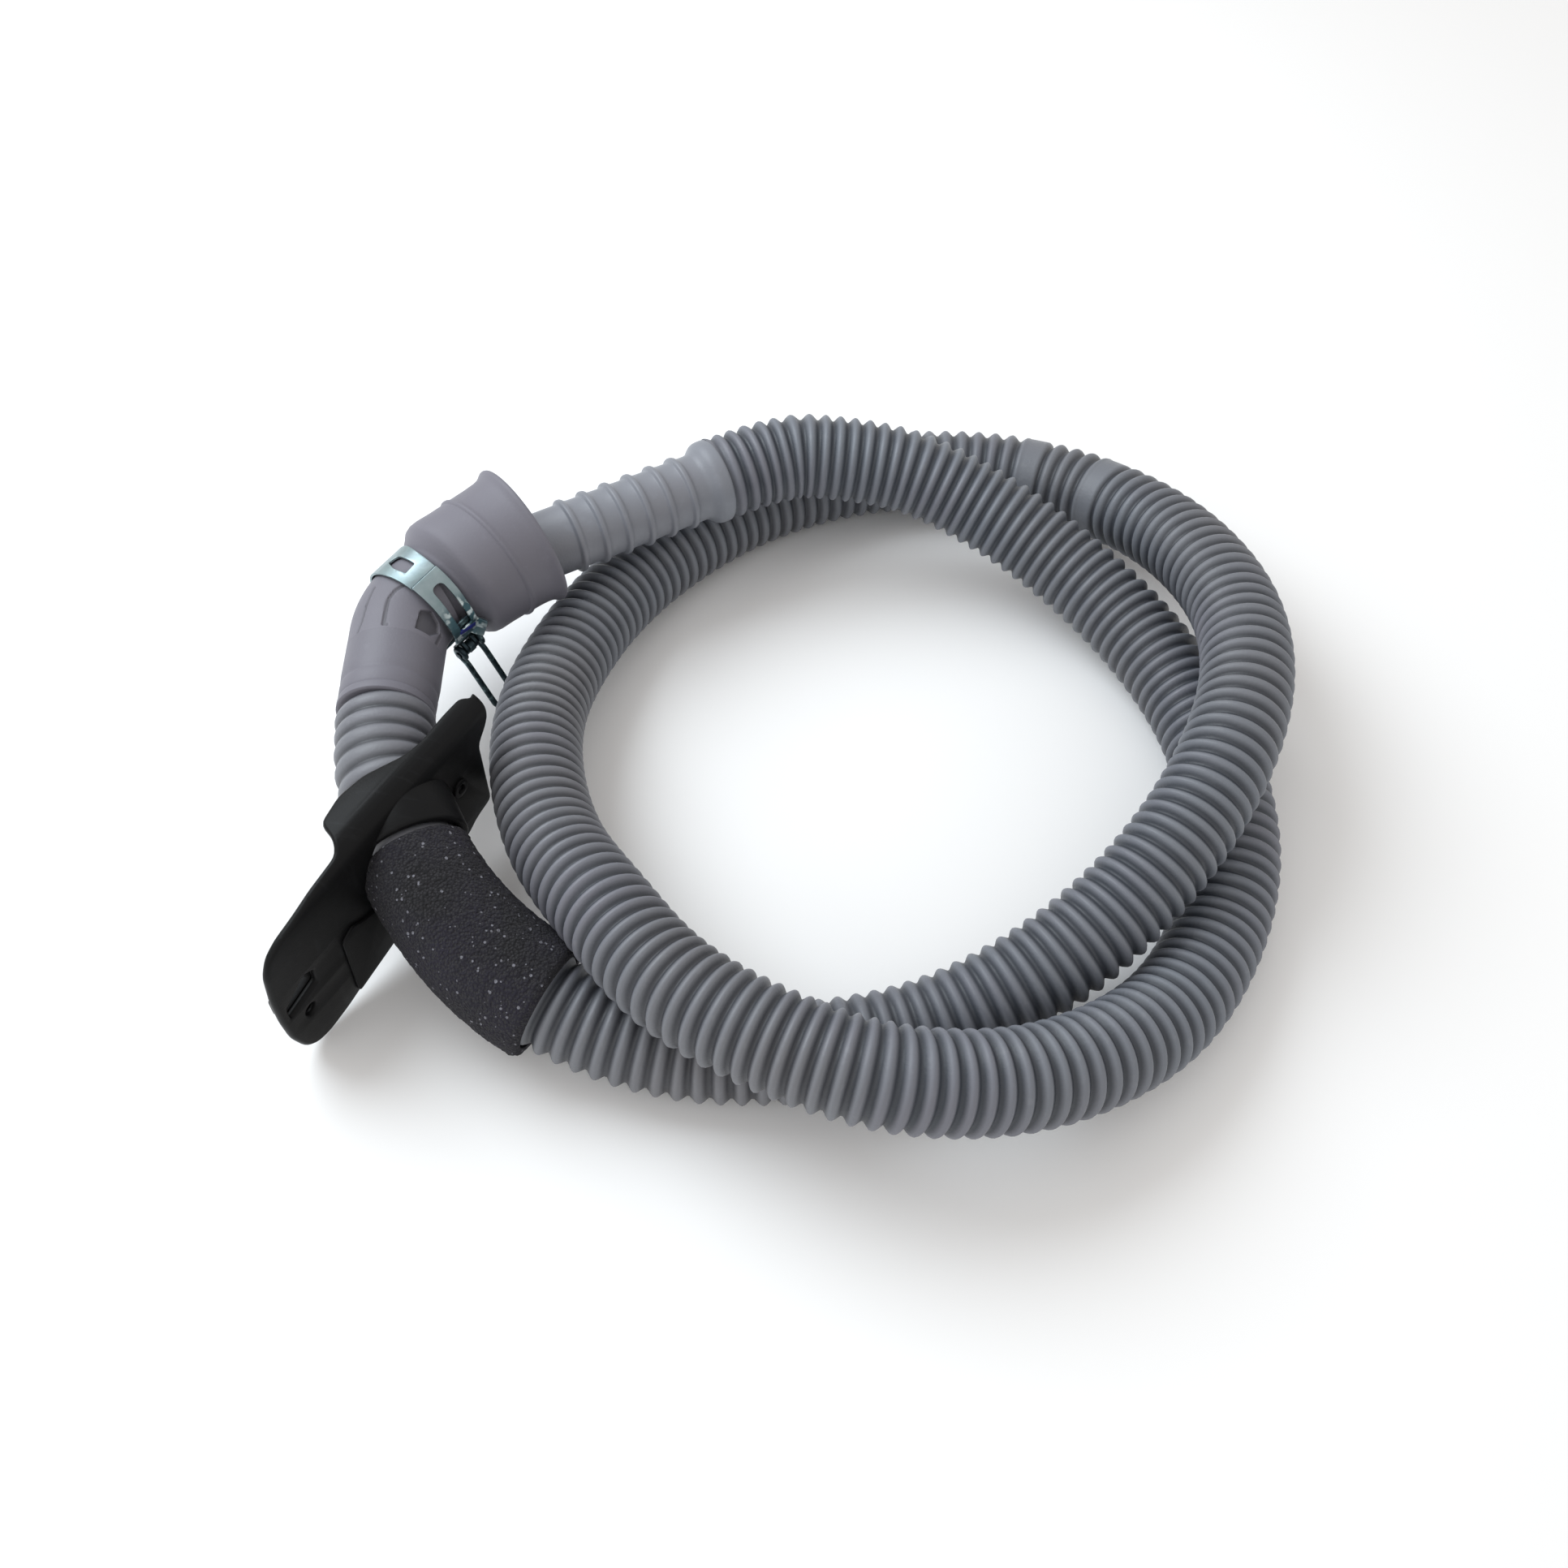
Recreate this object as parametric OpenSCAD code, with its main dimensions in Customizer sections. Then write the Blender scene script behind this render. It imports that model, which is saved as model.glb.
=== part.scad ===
// Coiled drain hose set: a corrugated hose with a ribbed outlet end, an inlet
// elbow with a flared cup and a spring clamp, a foam sleeve and a mounting bracket.
// It stands on its lowest turns. +Z is up, -Y is the front, all sizes in millimetres.

/* [Hose] */
// Outside diameter over the corrugations
hose_d = 32; // [30:0.5:32]
/* [Outlet spigot] */
// Body diameter of the ribbed outlet end
spigot_d = 25; // [23:0.5:26]
// Bore through the outlet end
spigot_bore = 20; // [16:0.5:20.5]
// Distance between two grip ribs
rib_pitch = 9.4; // [8.5:0.1:9.5]
// Diameter of the plain collar that holds the hose
collar_d = 33; // [32.5:0.5:34]
/* [Inlet elbow] */
// Outside diameter of the elbow tube
elbow_d = 33.6; // [33:0.1:34]
// Bore of the elbow tube
elbow_bore = 27; // [24:0.5:27.5]
// Radius of the elbow's bend along its centreline
bend_r = 27; // [26:0.5:28]
/* [Inlet cup] */
// Bore of the flared cup
cup_bore = 45; // [43:0.5:46]
// Outside diameter of the cup's rim
rim_d = 55; // [53:0.5:56]
/* [Clamp] */
// Width of the clamp band
band_w = 13; // [11:0.5:13]
// Thickness of the clamp band
band_t = 1.1; // [0.8:0.1:1.4]
// Wire diameter of the bail
wire_d = 2; // [1.6:0.1:2.2]
/* [Foam sleeve] */
// Outside diameter of the foam sleeve
foam_d = 38.5; // [37:0.5:38.5]
/* [Bracket] */
// Wall thickness of the moulded bracket
wall = 3; // [2.4:0.2:3.4]
// Radius of the screw hole in the bracket's foot
screw_r = 2.2; // [1.8:0.1:2.6]

/* [Hidden] */
$fn = 96;

// The hose's route, from the outlet collar to the elbow.
hose_route = [
    [-22, 123, 50], [-5, 130, 51], [13, 133, 51], [48, 130, 46], [80, 118, 36],
    [108, 99, 26], [131, 73, 19], [147, 41, 16], [154, 6, 16], [153, -30, 16],
    [142, -63, 16], [122, -93, 20], [95, -115, 29], [64, -128, 38], [29, -131, 47],
    [-5, -120, 50], [-34, -101, 50], [-56, -73, 47], [-74, -43, 40], [-84, -9, 35],
    [-85.5, 26, 28.2], [-77, 61, 22.6], [-62, 93, 18.5], [-40, 121, 16.5], [-13, 143, 16],
    [19, 158, 16], [54, 165, 16], [90, 162, 17], [122, 147, 20], [145, 121, 27],
    [158, 89, 36], [163, 55, 44], [159, 20, 50], [147, -13, 50], [128, -43, 44],
    [104, -67, 34], [75, -86, 24], [43, -99, 17], [8, -106, 16], [-28, -106, 16],
    [-62, -98, 21], [-92, -81, 29], [-115, -56, 39], [-130, -24, 45], [-135, 4, 47.6]];
// Middle of the whole set's outline, which becomes the origin.
centre = [11, 17, 0];

ring_sides = 12;
ring_count = 84;
spigot_heading = 30;
elbow_tilt = [3, -6.5, 0];
elbow_lead = 34.5;
bend_angle = 52;
elbow_tail = 3.6;
elbow_sides = 48;
// Angle in the bend where the elbow steps down into the cup's neck, and its radius there.
socket_angle = 12;
plug_r = 14.9;
elbow_start = hose_route[len(hose_route) - 1];

// Spigot lengths, from its tip to the hose.
tip_len = 33;
collar_len = 5;
chamfer_len = 7;
rib_count = 6;
rib_w = 5;
spigot_len = 96;
// Clearance between the spigot's end face and the hose.
spigot_gap = 0.05;

// The cup, measured along its axis from the end of the elbow's bend.
cup_start = -2.5;
cup_seat = 4;
cup_floor = 10;
cup_len = 38.6;
neck_r = 16.7;
neck_play = 0.15;
// Place of the clamp in the bend, and the heading of its axis.
clamp_angle = 40;
clamp_heading = 37;
band_r = 18;
// How far the band sits off the elbow's centreline, towards the inside of the bend.
band_offset = 0.6;

// The clamp's ears, pin and wire loop, seen along the clamp's axis.
ear_angle = 40;
ear_mid = 0.3;
ear_x = 2.2;
eye_r = 2.6;
eye_x = 4.4;
pin_r = 1.2;
pin_radius = 22.4;
bail_len = 27;
bail_drop = 30;

// First and last ring of the foam sleeve, counted along the smoothed route.
foam_first = 76;
foam_last = 79;
foam_gap = 0.5;

plate_heading = 60;
plate_offset = 84;
plate_top = 66;
collar_wall = 2.5;
collar_gap = 2;

function unit(v) = v / norm(v);

// A smooth curve through the route's points, as evenly counted rings.
function blend(a, b, c, d, t) = 0.5 * (2 * b + (c - a) * t
    + (2 * a - 5 * b + 4 * c - d) * t * t + (3 * b - a - 3 * c + d) * t * t * t);
function pick(pts, i) = i < 0 ? 2 * pts[0] - pts[1]
    : i >= len(pts) ? 2 * pts[len(pts) - 1] - pts[len(pts) - 2] : pts[i];
function lifted(p, r) = [p.x, p.y, max(p.z, r)];
function smooth(pts, n) = [for (i = [0 : n - 1])
    let (u = i * (len(pts) - 1) / (n - 1), k = min(floor(u), len(pts) - 2), t = u - k)
    lifted(blend(pick(pts, k - 1), pick(pts, k), pick(pts, k + 1), pick(pts, k + 2), t),
           hose_d / 2)];

function heading(pts, i) = unit(pick(pts, i + 1) - pick(pts, i - 1));
// Points of one ring about a centre, square to the direction given.
function ring(c, dir, r, n) = let (side = unit(cross(dir, [0, 0, 1])), rise = cross(side, dir))
    [for (k = [0 : n - 1]) let (a = 360 * k / n - 90) c + r * cos(a) * side + r * sin(a) * rise];
// Side faces between neighbouring rings of n points, the first one starting at point s.
function skin(rings, n, s, flip) = [for (i = [0 : rings - 2], k = [0 : n - 1], h = [0, 1])
    let (a = s + i * n + k, b = s + i * n + (k + 1) % n, c = b + n, d = a + n,
         tri = h == 0 ? [a, b, c] : [a, c, d])
    flip ? [tri[2], tri[1], tri[0]] : tri];
function cap(n, s, flip) = [for (k = [0 : n - 1]) s + (flip ? n - 1 - k : k)];

// Solid round bar along centres, with one direction for each.
module bar(centres, dirs, r, n) {
    m = len(centres);
    polyhedron(points = [for (i = [0 : m - 1]) each ring(centres[i], dirs[i], r, n)],
               faces = concat(skin(m, n, 0, false), [cap(n, 0, true)],
                              [cap(n, (m - 1) * n, false)]),
               convexity = 10);
}

// Hollow tube along centres, with an outer radius for each.
module tube(centres, dirs, r_out, r_in, n) {
    m = len(centres);
    ends = [for (e = [0, m - 1], k = [0 : n - 1], h = [0, 1])
        let (a = e * n + k, b = e * n + (k + 1) % n, in_a = m * n + a, in_b = m * n + b,
             tri = h == 0 ? [a, in_b, b] : [a, in_a, in_b])
        e == 0 ? tri : [tri[2], tri[1], tri[0]]];
    polyhedron(points = concat([for (i = [0 : m - 1]) each ring(centres[i], dirs[i], r_out[i], n)],
                               [for (i = [0 : m - 1]) each ring(centres[i], dirs[i], r_in, n)]),
               faces = concat(skin(m, n, 0, false), skin(m, n, m * n, true), ends),
               convexity = 10);
}

path = smooth(hose_route, ring_count);
spigot_dir = [cos(spigot_heading), sin(spigot_heading), 0];
elbow_dir = [sin(elbow_tilt.y) * sin(elbow_tilt.x), cos(elbow_tilt.x),
             sin(elbow_tilt.x) * cos(elbow_tilt.y)];
path_dirs = [for (i = [0 : len(path) - 1])
    i == 0 ? spigot_dir : i == len(path) - 1 ? elbow_dir : heading(path, i)];
collar_dir = unit(path[foam_last + 1] - path[foam_last]);
collar_at = path[foam_last] + collar_gap * collar_dir;

module placed() {
    translate(-centre) children();
}

module drain_hose() {
    color("#7d828d") placed() bar(path, path_dirs, hose_d / 2, ring_sides);
}

// Half section of the spigot: radius against length from its tip.
module spigot_section() {
    body_r = spigot_d / 2;
    rib_r = body_r + 1.5;
    collar_start = spigot_len - collar_len;
    difference() {
        union() {
            square([body_r, spigot_len]);
            for (i = [0 : rib_count - 1])
                translate([0, tip_len - rib_w + i * rib_pitch])
                    polygon([[0, 0], [body_r, 0], [rib_r, 0.8], [rib_r, 3], [body_r, rib_w],
                             [0, rib_w]]);
            translate([0, collar_start - chamfer_len])
                polygon([[0, 0], [body_r, 0], [collar_d / 2, chamfer_len],
                         [collar_d / 2, chamfer_len + collar_len], [0, chamfer_len + collar_len]]);
        }
        translate([0, -1]) square([spigot_bore / 2, spigot_len + 2]);
    }
}

module outlet_spigot() {
    color("#8d8c94") placed() translate(hose_route[0] - (spigot_len + spigot_gap) * spigot_dir)
        rotate([0, 90, spigot_heading]) rotate_extrude() spigot_section();
}

// Frame of the elbow: its own +Y runs up the tube, and it bends towards its +X.
module elbow_frame() {
    placed() translate(elbow_start) rotate(elbow_tilt) children();
}
// Frame at the end of the bend, with +X along the cup's axis.
module cup_frame() {
    translate([bend_r * (1 - cos(bend_angle)), elbow_lead + bend_r * sin(bend_angle), 0])
        rotate([0, 0, 90 - bend_angle]) children();
}
// Frame of the clamp on the neck, with +X along the clamp's axis.
module clamp_frame() {
    translate(bend_at(clamp_angle)) rotate([0, 0, 90 - clamp_heading])
        translate([0, -band_offset, 0]) children();
}

// The elbow's centreline and its heading, at each angle of its bend.
function bend_at(a) = [bend_r * (1 - cos(a)), elbow_lead + bend_r * sin(a), 0];
function bend_dir(a) = [sin(a), cos(a), 0];

module inlet_elbow() {
    angles = [each [0 : 4 : socket_angle], each [socket_angle + 2 : 4 : bend_angle - 1], bend_angle];
    centres = concat([[0, 0, 0], [0, 10, 0], [0, 11, 0]], [for (a = angles) bend_at(a)],
                     [bend_at(bend_angle) + elbow_tail * bend_dir(bend_angle)]);
    dirs = concat([for (i = [0 : 2]) [0, 1, 0]], [for (a = angles) bend_dir(a)],
                  [bend_dir(bend_angle)]);
    radii = concat([elbow_d / 2 + 0.4, elbow_d / 2 + 0.4, elbow_d / 2],
                   [for (a = angles) a <= socket_angle ? elbow_d / 2 : plug_r], [plug_r]);
    color("#807d87") elbow_frame() tube(centres, dirs, radii, elbow_bore / 2, elbow_sides);
}

// The cup's bent neck, around the elbow's end.
module cup_neck() {
    angles = [socket_angle + 3, each [socket_angle + 4 : 4 : bend_angle]];
    tube(concat([for (a = angles) bend_at(a)], [bend_at(bend_angle) + 5 * bend_dir(bend_angle)]),
         concat([for (a = angles) bend_dir(a)], [bend_dir(bend_angle)]),
         [for (i = [0 : len(angles)]) neck_r], plug_r + neck_play, elbow_sides);
}

module inlet_cup() {
    body_r = cup_bore / 2 + 1.6;
    rim_r = rim_d / 2;
    color("#85828c") elbow_frame() {
        cup_neck();
        difference() {
            cup_frame() rotate([0, 90, 0]) rotate_extrude()
                polygon([[0, cup_start], [neck_r + 1.2, cup_start], [neck_r + 2.1, cup_start + 1.5],
                         [body_r - 1.5, cup_start + 5], [body_r, cup_start + 10],
                         [body_r + 0.2, 21], [body_r + 0.7, 22], [body_r + 0.9, cup_len - 4],
                         [rim_r, cup_len - 1.6], [rim_r - 0.4, cup_len], [0, cup_len]]);
            // Room for the clamp band around the neck.
            clamp_frame() cross_bar(band_w + 0.4, band_r + 12);
            // Room for the neck, the way through, and the cup's own bore.
            cup_frame() {
                translate([cup_start - 1, 0, 0]) rotate([0, 90, 0])
                    cylinder(h = cup_seat - cup_start + 1, r = (plug_r + neck_r) / 2);
                rotate([0, 90, 0]) cylinder(h = cup_len, d = elbow_bore);
                translate([cup_floor, 0, 0]) rotate([0, 90, 0]) cylinder(h = cup_len, d = cup_bore);
            }
        }
    }
}

// The pin's place on the clamp, with its own -Y pointing away from the clamp's axis.
module pin_frame() {
    clamp_frame() rotate([ear_angle, 0, 0]) translate([ear_mid, -pin_radius, 0]) children();
}
// Round bar along the clamp's axis, centred on the frame it is drawn in.
module cross_bar(h, r) {
    rotate([0, 90, 0]) cylinder(h = h, r = r, center = true);
}

module clamp_band() {
    in_r = band_r;
    out_r = in_r + band_t;
    color("#b9c3c8") elbow_frame() difference() {
        union() {
            clamp_frame() difference() {
                cross_bar(band_w, out_r);
                cross_bar(band_w + 1, in_r);
                // Long slot beside the ears and window near the top of the band.
                rotate([-12, 0, 0]) translate([-1.6, -30, -7]) cube([5.2, 14, 14]);
                rotate([-112, 0, 0]) translate([-3, -30, -4]) cube([6, 14, 8]);
            }
            pin_frame() for (x = [-ear_x, ear_x])
                translate([x, 0, 0]) {
                    cross_bar(1.6, eye_r);
                    translate([-0.8, 0, -eye_r])
                        cube([1.6, pin_radius - in_r - band_t / 2, 2 * eye_r]);
                }
        }
        pin_frame() cross_bar(20, pin_r);
    }
}

module clamp_pin() {
    color("#9aa3a8") elbow_frame() pin_frame() cross_bar(2 * eye_x + 3.2, pin_r);
}

// Wire loop that turns on the pin, with an eye at each end.
module clamp_bail() {
    color("#4d5a5e") elbow_frame() pin_frame() rotate([bail_drop, 0, 0]) difference() {
        union() {
            for (x = [-eye_x, eye_x])
                translate([x, 0, 0]) {
                    cross_bar(wire_d + 0.3, eye_r);
                    rotate([90, 0, 0]) cylinder(h = bail_len, d = wire_d);
                }
            translate([0, -bail_len, 0]) cross_bar(2 * eye_x + wire_d + 0.4, wire_d / 2 + 0.1);
        }
        cross_bar(20, pin_r + 0.08);
    }
}

module foam_sleeve() {
    span = [for (i = [foam_first : foam_last]) path[i]];
    dirs = [for (i = [foam_first : foam_last]) path_dirs[i]];
    color("#3b3a40") placed()
        tube(span, dirs, [for (p = span) foam_d / 2], hose_d / 2 + foam_gap, ring_sides);
}

// Upright plate that the hose passes through, drawn in its own plane.
module plate_outline() {
    polygon([[-53, 66], [-125, 66], [-138, 63.5], [-155, 59], [-161, 56], [-164, 50],
             [-166, 37], [-166, 26], [-165, 15], [-162, 6], [-158, 2], [-152, 0.6],
             [-142, 2], [-118, 8], [-95, 12], [-73, 16], [-68, 19], [-59, 21],
             [-59, 50], [-53, 56]]);
}

// Level flange over the hose, in plan along and across the upright plate.
module flange_outline() {
    polygon([[-53, 84], [-57, 88.5], [-64, 90], [-77, 89.5], [-84, 91], [-99, 97.5],
             [-106, 99], [-113, 98], [-117, 96], [-120, 90], [-125, 84]]);
}

// Frame of the upright plate: +X along it, +Z up, with its middle at y = 0.
module plate_frame() {
    rotate([0, 0, plate_heading]) translate([0, plate_offset, 0]) children();
}
// Bar through the plate, pointing across it, at a place along and up the plate.
module through_plate(at, r) {
    plate_frame() translate([at.x, 0, at.y]) rotate([90, 0, 0])
        cylinder(h = wall + 2, r = r, center = true);
}

module bracket() {
    color("#262628") placed() difference() {
        union() {
            plate_frame() translate([0, wall / 2, 0]) rotate([90, 0, 0]) linear_extrude(wall)
                plate_outline();
            rotate([0, 0, plate_heading]) translate([0, 0, plate_top - wall])
                linear_extrude(wall) flange_outline();
            intersection() {
                translate(collar_at) orient(collar_dir)
                    cylinder(h = 60, d = foam_d + 2 * collar_wall);
                plate_frame() translate([-200, -60, 0]) cube([200, 60, 100]);
            }
        }
        // The hose's way through, straight along each of the two stretches it covers.
        for (i = [foam_last, foam_last + 1])
            translate(path[i]) orient(unit(path[i + 1] - path[i])) translate([0, 0, -20])
                cylinder(h = 60, d = hose_d + 2.4);
        through_plate([-155, 19.5], screw_r);
        through_plate([-72.5, 41.5], 1.6);
        plate_frame() translate([-155, 0, 27.5]) rotate([0, 10, 0])
            cube([16, wall + 2, 3.2], center = true);
    }
}

// Turns +Z towards a direction.
module orient(dir) {
    rotate([0, acos(dir.z), atan2(dir.y, dir.x)]) children();
}

drain_hose();
outlet_spigot();
inlet_elbow();
inlet_cup();
clamp_band();
clamp_pin();
clamp_bail();
foam_sleeve();
bracket();
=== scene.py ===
"""Looks of the coiled drain hose set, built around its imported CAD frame.

Sizes are in millimetres until MM turns them into metres, apart from the hose's route, the
camera, the lamps and the materials, which are in metres throughout. The route repeats the
one that the CAD part follows. Every piece rides on the CAD body that carries it.
"""

import math
from contextlib import contextmanager

import bmesh
import bpy
import numpy as np
from mathutils import Matrix, Vector, noise


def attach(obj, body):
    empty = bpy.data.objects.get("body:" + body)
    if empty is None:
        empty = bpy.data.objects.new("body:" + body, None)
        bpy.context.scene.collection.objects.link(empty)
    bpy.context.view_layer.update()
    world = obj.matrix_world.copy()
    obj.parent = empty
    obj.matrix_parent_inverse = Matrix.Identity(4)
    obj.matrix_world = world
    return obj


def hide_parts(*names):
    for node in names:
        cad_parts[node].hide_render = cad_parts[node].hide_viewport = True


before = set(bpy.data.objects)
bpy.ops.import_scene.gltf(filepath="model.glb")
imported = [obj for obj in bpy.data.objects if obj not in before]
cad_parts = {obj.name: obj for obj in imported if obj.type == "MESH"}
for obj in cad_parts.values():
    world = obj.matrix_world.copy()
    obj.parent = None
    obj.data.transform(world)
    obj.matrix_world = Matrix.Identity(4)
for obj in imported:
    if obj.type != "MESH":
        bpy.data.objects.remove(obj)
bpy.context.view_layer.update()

MM = 0.001

# Middle of the set's outline in the route's own coordinates, taken off every point.
CENTRE = np.array([11.0, 17.0, 0.0])

# The hose's route from the outlet collar to the elbow, in metres.
HOSE_ROUTE = [
    (-0.022, 0.123, 0.050), (-0.005, 0.130, 0.051), (0.013, 0.133, 0.051),
    (0.048, 0.130, 0.046), (0.080, 0.118, 0.036), (0.108, 0.099, 0.026),
    (0.131, 0.073, 0.019), (0.147, 0.041, 0.016), (0.154, 0.006, 0.016),
    (0.153, -0.030, 0.016), (0.142, -0.063, 0.016), (0.122, -0.093, 0.020),
    (0.095, -0.115, 0.029), (0.064, -0.128, 0.038), (0.029, -0.131, 0.047),
    (-0.005, -0.120, 0.050), (-0.034, -0.101, 0.050), (-0.056, -0.073, 0.047),
    (-0.074, -0.043, 0.040), (-0.084, -0.009, 0.035), (-0.0855, 0.026, 0.0282),
    (-0.077, 0.061, 0.0226), (-0.062, 0.093, 0.0185), (-0.040, 0.121, 0.0165),
    (-0.013, 0.143, 0.016), (0.019, 0.158, 0.016), (0.054, 0.165, 0.016),
    (0.090, 0.162, 0.017), (0.122, 0.147, 0.020), (0.145, 0.121, 0.027),
    (0.158, 0.089, 0.036), (0.163, 0.055, 0.044), (0.159, 0.020, 0.050),
    (0.147, -0.013, 0.050), (0.128, -0.043, 0.044), (0.104, -0.067, 0.034),
    (0.075, -0.086, 0.024), (0.043, -0.099, 0.017), (0.008, -0.106, 0.016),
    (-0.028, -0.106, 0.016), (-0.062, -0.098, 0.021), (-0.092, -0.081, 0.029),
    (-0.115, -0.056, 0.039), (-0.130, -0.024, 0.045), (-0.135, 0.004, 0.0476)]

HOSE_R = 16.0
HOSE_DEPTH = 2.35


# -------- camera and light

CAMERA_ELEVATION = 52
CAMERA_DISTANCE = 0.5723
CAMERA_TARGET = (-0.011, -0.017, 0.016)
CAMERA_LENS, CAMERA_SENSOR = 37.27, 36
NEAREST_SEEN = 0.01

SKY_COLOUR = (1.0, 0.975, 0.95, 1)
SKY_STRENGTH = 0.78
# Each soft lamp's name, place, what it looks at, width, watts and colour.
LAMPS = (
    ("key", (-0.62, 0.32, 0.80), (-0.05, 0, 0), 0.8, 8.0, (0.86, 0.94, 1.0)),
    ("front", (-0.7, -1.0, 0.9), (-0.1, 0, 0), 1.2, 2.4, (0.92, 0.96, 1.0)))
FLOOR_SIZE = 8
# The floor lies a hair below the set, so that no face of the set lies in it.
FLOOR_LEVEL = -0.0002


def add_camera():
    """Looks down on the coil from the front at the angle of view of a close photograph."""
    elevation = math.radians(CAMERA_ELEVATION)
    data = bpy.data.cameras.new("camera")
    data.sensor_width = CAMERA_SENSOR
    data.lens = CAMERA_LENS
    data.clip_start = NEAREST_SEEN
    camera = bpy.data.objects.new("camera", data)
    bpy.context.scene.collection.objects.link(camera)
    back = Vector((0, -math.cos(elevation), math.sin(elevation)))
    camera.location = Vector(CAMERA_TARGET) + CAMERA_DISTANCE * back
    camera.rotation_euler = (math.pi / 2 - elevation, 0, 0)
    bpy.context.scene.camera = camera


def add_area_light(name, place, target, size, watts, colour):
    """Round soft lamp turned towards its target."""
    data = bpy.data.lights.new(name, "AREA")
    data.shape = "DISK"
    data.size = size
    data.energy = watts
    data.color = colour
    lamp = bpy.data.objects.new(name, data)
    bpy.context.scene.collection.objects.link(lamp)
    lamp.location = place
    lamp.rotation_euler = (Vector(target) - Vector(place)).to_track_quat("-Z", "Y").to_euler()


def add_studio():
    """Pale floor, even white surroundings and soft lamps from the left and the front."""
    scene = bpy.context.scene
    scene.view_settings.view_transform = "Standard"
    world = bpy.data.worlds.new("world")
    world.use_nodes = True
    background = world.node_tree.nodes["Background"]
    background.inputs["Color"].default_value = SKY_COLOUR
    background.inputs["Strength"].default_value = SKY_STRENGTH
    scene.world = world
    for lamp in LAMPS:
        add_area_light(*lamp)
    bpy.ops.mesh.primitive_plane_add(size=FLOOR_SIZE, location=(0, 0, FLOOR_LEVEL))
    floor = bpy.context.object
    floor.name = "floor"
    floor.data.materials.append(floor_material())


# -------- material helpers

class Shader:
    """A material's node tree with short ways to add and join nodes."""

    def __init__(self, name):
        self.material = bpy.data.materials.new(name)
        self.material.use_nodes = True
        self.tree = self.material.node_tree
        self.surface = self.tree.nodes["Principled BSDF"]
        self.place = self.node("ShaderNodeTexCoord").outputs["Object"]

    def node(self, kind, inputs=None, **settings):
        """A new node, with its inputs by name or number, as values or as sockets to join."""
        made = self.tree.nodes.new(kind)
        for key, value in settings.items():
            setattr(made, key, value)
        for key, value in (inputs or {}).items():
            self.feed(made.inputs[key], value)
        return made

    def feed(self, socket, value):
        if isinstance(value, bpy.types.NodeSocket):
            self.tree.links.new(value, socket)
        else:
            socket.default_value = value

    def set(self, **inputs):
        """Feeds the surface's inputs, named with _ for their spaces."""
        for key, value in inputs.items():
            self.feed(self.surface.inputs[key.replace("_", " ")], value)

    def noise(self, scale, detail=3.0, roughness=0.5, stretch=None):
        place = self.place
        if stretch:
            place = self.node("ShaderNodeMapping", {"Vector": place, "Scale": stretch}).outputs[0]
        made = self.node("ShaderNodeTexNoise", {
            "Vector": place, "Scale": scale, "Detail": detail, "Roughness": roughness})
        return made.outputs["Fac"]

    def ramp(self, value, low, high, to_low=0.0, to_high=1.0):
        """A value between low and high, spread over to_low to to_high and held at its ends."""
        made = self.node("ShaderNodeMapRange", {
            "Value": value, "From Min": low, "From Max": high,
            "To Min": to_low, "To Max": to_high})
        made.clamp = True
        return made.outputs[0]

    def math(self, operation, a, b):
        return self.node("ShaderNodeMath", {0: a, 1: b}, operation=operation).outputs[0]

    def mix(self, factor, a, b):
        made = self.node("ShaderNodeMix", data_type="RGBA")
        self.feed(made.inputs["Factor"], factor)
        self.feed(made.inputs["A"], rgba(a))
        self.feed(made.inputs["B"], rgba(b))
        return made.outputs["Result"]

    def attribute(self, name):
        return self.node("ShaderNodeAttribute", attribute_name=name).outputs["Fac"]

    def bump(self, height, strength, distance):
        made = self.node("ShaderNodeBump", {
            "Height": height, "Strength": strength, "Distance": distance})
        self.set(Normal=made.outputs[0])


def rgba(colour):
    """A colour as four numbers, or the socket that it already is."""
    if isinstance(colour, bpy.types.NodeSocket):
        return colour
    return (*colour, 1.0)


def floor_material():
    s = Shader("pale_floor")
    s.set(Base_Color=(0.93, 0.93, 0.93, 1), Roughness=0.9)
    return s.material


def hose_material():
    """Grey corrugated plastic: painted shade and dust in grooves, worn light crests, cloudy tint.
    """
    s = Shader("corrugated_plastic")
    groove = s.attribute("groove")
    cool = s.ramp(s.noise(9.0, 2.0), 0.35, 0.65)
    crest = s.mix(cool, (0.158, 0.160, 0.175), (0.152, 0.168, 0.196))
    violet = s.ramp(s.noise(17.0, 2.0), 0.5, 0.75, 0.0, 0.6)
    crest = s.mix(violet, crest, (0.160, 0.156, 0.186))
    deep = s.mix(cool, (0.046, 0.047, 0.054), (0.041, 0.048, 0.061))
    # Painted shade in the grooves, broken up by dust: the deeper a place, the darker its colour.
    groove_shade_and_dirt = s.math("MULTIPLY", groove, s.ramp(s.noise(60.0, 4.0), 0.2, 0.8, 0.72, 1.0))
    worn = s.mix(s.ramp(s.noise(220.0, 3.0), 0.62, 0.75, 0.0, 0.25), crest, (0.23, 0.24, 0.26))
    s.set(Base_Color=s.mix(s.ramp(groove_shade_and_dirt, 0.16, 0.66), worn, deep))
    s.set(Roughness=s.ramp(s.noise(45.0, 3.0), 0.3, 0.7, 0.42, 0.58))
    s.bump(s.noise(900.0, 3.0), 0.16, 0.0006)
    return s.material


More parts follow.
